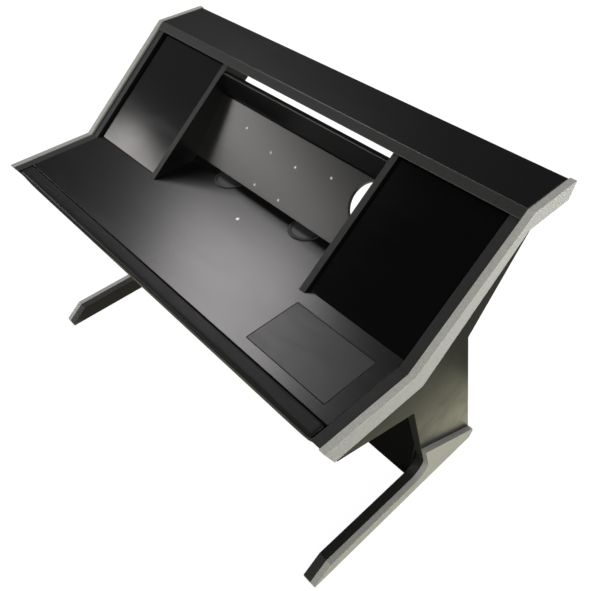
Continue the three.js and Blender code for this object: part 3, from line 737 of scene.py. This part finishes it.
def turned_head(shape, seat, way, rings, recess):
    """One head on its seat, built ring by ring, with a cross pressed into it where there is a recess."""
    turn = Vector((0.0, 0.0, 1.0)).rotation_difference(way).to_matrix()
    circles = []
    for number, (radius, height) in enumerate(rings):
        circle = []
        for step in range(HEAD_STEPS):
            angle = 2 * math.pi * step / HEAD_STEPS
            crossed = number >= len(rings) - 2 and step % (HEAD_STEPS // CROSS_ARMS) == 0
            sunk = recess if crossed else 0.0
            point = Vector((radius * math.cos(angle), radius * math.sin(angle), height - sunk))
            circle.append(shape.verts.new(seat + turn @ point))
        circles.append(circle)
    middle = shape.verts.new(seat + turn @ Vector((0.0, 0.0, rings[-1][1] - recess)))
    shape.faces.new(circles[0][::-1])
    for lower, upper in zip(circles, circles[1:]):
        for step in range(HEAD_STEPS):
            after = (step + 1) % HEAD_STEPS
            shape.faces.new((lower[step], lower[after], upper[after], upper[step]))
    for step in range(HEAD_STEPS):
        shape.faces.new((circles[-1][step], circles[-1][(step + 1) % HEAD_STEPS], middle))


def fastener_heads(name, seats, rings, recess, finish):
    shape = bmesh.new()
    for seat, way in seats:
        turned_head(shape, seat, way, rings, recess)
    mesh = bpy.data.meshes.new(name)
    shape.to_mesh(mesh)
    shape.free()
    new_piece(name, mesh, finish)


def make_bracket_screws():
    """Two screws in each leg of each bracket."""
    seats = []
    for end in ("front", "rear"):
        for side, inward in (("left", 1.0), ("right", -1.0)):
            low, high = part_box(f"bracket_{end}_{side}")
            middle = (low + high) / 2
            against = low.x if inward > 0 else high.x
            for step in (-0.5, 0.5):
                y = middle.y + step * SCREW_APART
                under_top = Vector((middle.x + inward * BRACKET_WALL, y, high.z - BRACKET_WALL))
                at_side = Vector((against + inward * BRACKET_WALL, y, middle.z - BRACKET_WALL))
                seats.append((under_top, Vector((0.0, 0.0, -1.0))))
                seats.append((at_side, Vector((inward, 0.0, 0.0))))
    fastener_heads("bracket_screws", seats, SCREW_RINGS, SCREW_RECESS, "zinc")


def make_fitting_covers():
    """Covers over the fittings at both ends of the modesty panel's rear."""
    low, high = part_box("modesty_panel")
    covers = []
    for x in (low.x + COVER_FROM_END, high.x - COVER_FROM_END):
        for share in COVER_SHARES:
            covers.append((Vector((x, high.y, low.z + share * (high.z - low.z))), Vector((0.0, 1.0, 0.0))))
    fastener_heads("fitting_covers", covers, COVER_RINGS, 0.0, "cap")


make_bolster()
make_inlay()
make_bracket_screws()
make_fitting_covers()


# Floor, backdrop and light

def softbox(name, centre, target, width, height, radiance, roll=0.0, tint=(1.0, 1.0, 1.0), spread=180.0):
    """A rectangular lamp of a given brightness as seen from the desk."""
    lamp = bpy.data.lights.new(name, "AREA")
    lamp.shape = "RECTANGLE"
    lamp.size = width
    lamp.size_y = height
    lamp.energy = radiance * math.pi * width * height
    lamp.color = tint
    lamp.spread = math.radians(spread)
    holder = bpy.data.objects.new(name, lamp)
    bpy.context.scene.collection.objects.link(holder)
    holder.location = centre
    holder.rotation_euler = (Vector(target) - Vector(centre)).to_track_quat("-Z", "Y").to_euler()
    holder.rotation_euler.rotate_axis("Z", math.radians(roll))


def direction(azimuth, elevation):
    azimuth, elevation = math.radians(azimuth), math.radians(elevation)
    flat = math.cos(elevation)
    return Vector((math.sin(azimuth) * flat, math.cos(azimuth) * flat, math.sin(elevation)))


def light_desk():
    target = Vector(LAMP_TARGET)
    for name, (azimuth, elevation, width, height, radiance, roll, tint) in LAMPS.items():
        centre = target + direction(azimuth, elevation) * LAMP_DISTANCE
        softbox(name, centre, target, width, height, radiance, roll, tint)
    softbox(
        "softbox_rear_right", SIDE_LAMP_PLACE, SIDE_LAMP_TARGET,
        SIDE_LAMP_WIDTH, SIDE_LAMP_WIDTH, SIDE_LAMP_BRIGHTNESS, spread=SIDE_LAMP_SPREAD,
    )


def painted_floor_reflection(tree):
    """Painted reflection of the floor, seen only in shiny faces: pale beside the desk and fading away from it,
    with a painted shadow under the desk that is painted lighter towards its left end.
    """
    spot = add(tree, "ShaderNodeSeparateXYZ", {0: place(tree)}).outputs
    beside = maths(tree, "SUBTRACT", maths(tree, "ABSOLUTE", spot[0]), HALF_WIDTH)
    before = maths(tree, "SUBTRACT", maths(tree, "ABSOLUTE", spot[1]), HALF_DEPTH)
    outside = maths(tree, "MAXIMUM", beside, before)
    falloff = ramp(tree, outside, *REFLECTION_FALLOFF)
    left_end_light = ramp(tree, spot[0], *LEFT_END_REFLECTION_LIGHT)
    clear_floor = ramp(tree, outside, *UNDER_DESK_SHADOW_EDGE)
    painted_shadow_area = maths(tree, "SUBTRACT", 1.0, clear_floor)
    return times(tree, falloff, plus(tree, clear_floor, times(tree, left_end_light, painted_shadow_area)))


def make_floor():
    """White paper that keeps the desk's shadow, and glows in shiny faces as a painted reflection."""
    mesh = bpy.data.meshes.new("floor")
    corners = [(x * FLOOR_REACH, y * FLOOR_REACH, 0) for x, y in ((-1, -1), (1, -1), (1, 1), (-1, 1))]
    mesh.from_pydata(corners, [], [(0, 1, 2, 3)])
    floor = bpy.data.objects.new("floor", mesh)
    bpy.context.scene.collection.objects.link(floor)
    paper = bpy.data.materials.new("floor_paper")
    paper.use_nodes = True
    tree = paper.node_tree
    tree.nodes.clear()
    path = add(tree, "ShaderNodeLightPath").outputs
    plain = add(tree, "ShaderNodeBsdfDiffuse", {"Color": PAPER_TONE}).outputs[0]
    white = add(tree, "ShaderNodeEmission", {"Color": WHITE, "Strength": PAPER_GLOW}).outputs[0]
    seen = add(tree, "ShaderNodeMixShader", {0: PAPER_GLOW_SHARE, 1: plain, 2: white}).outputs[0]
    # Painted reflection: the floor glows only for shiny faces, with a painted shadow under the desk
    shine = add(tree, "ShaderNodeEmission", {"Color": REFLECTION_TINT, "Strength": painted_floor_reflection(tree)}).outputs[0]
    mirrored = add(tree, "ShaderNodeMixShader", {0: path["Is Glossy Ray"], 1: plain, 2: shine}).outputs[0]
    either = add(tree, "ShaderNodeMixShader", {0: path["Is Camera Ray"], 1: mirrored, 2: seen}).outputs[0]
    add(tree, "ShaderNodeOutputMaterial", {"Surface": either})
    mesh.materials.append(paper)


def studio_glow(tree, way):
    """What shiny faces mirror: a dim room with a few soft glows, the brightest counting."""
    glow = ROOM_GLOW
    for centre, start, full, strength in GLOWS:
        glow = maths(tree, "MAXIMUM", glow, ramp(tree, dot(tree, way, centre), start, full, ROOM_GLOW, strength))
    return glow


def make_world():
    """White for the camera, even light for the desk and a dim studio in its shiny faces."""
    world = bpy.data.worlds.new("studio")
    bpy.context.scene.world = world
    world.use_nodes = True
    tree = world.node_tree
    tree.nodes.clear()
    path = add(tree, "ShaderNodeLightPath").outputs
    white = add(tree, "ShaderNodeBackground", {"Color": WHITE, "Strength": 1.0}).outputs[0]
    way = add(tree, "ShaderNodeTexCoord").outputs["Generated"]
    ahead = ramp(tree, dot(tree, way, EVEN_WAY), *EVEN_RANGE)
    even = add(tree, "ShaderNodeBackground", {"Color": EVEN_TONE, "Strength": ahead}).outputs[0]
    studio = add(tree, "ShaderNodeBackground", {"Color": GLOW_TONE, "Strength": studio_glow(tree, way)}).outputs[0]
    lit = add(tree, "ShaderNodeMixShader", {0: path["Is Glossy Ray"], 1: even, 2: studio}).outputs[0]
    seen = add(tree, "ShaderNodeMixShader", {0: path["Is Camera Ray"], 1: lit, 2: white}).outputs[0]
    add(tree, "ShaderNodeOutputWorld", {"Surface": seen})


def make_camera():
    lens = bpy.data.cameras.new("camera")
    lens.sensor_fit = "HORIZONTAL"
    lens.sensor_width = SENSOR
    lens.lens = FOCAL_PIXELS / FRAME_WIDTH * SENSOR
    lens.shift_x = (FRAME_WIDTH / 2 - CENTRE_PIXEL[0]) / FRAME_WIDTH
    lens.shift_y = (CENTRE_PIXEL[1] - FRAME_HEIGHT / 2) / FRAME_WIDTH
    camera = bpy.data.objects.new("camera", lens)
    bpy.context.scene.collection.objects.link(camera)
    turn = Matrix.Rotation(CAMERA_TURN, 4, "Z") @ Matrix.Rotation(CAMERA_TILT, 4, "X")
    camera.matrix_world = Matrix.Translation(CAMERA_PLACE) @ turn @ Matrix.Rotation(CAMERA_ROLL, 4, "Z")
    bpy.context.scene.camera = camera


light_desk()
make_floor()
make_world()
make_camera()
bpy.context.scene.view_settings.view_transform = "Standard"
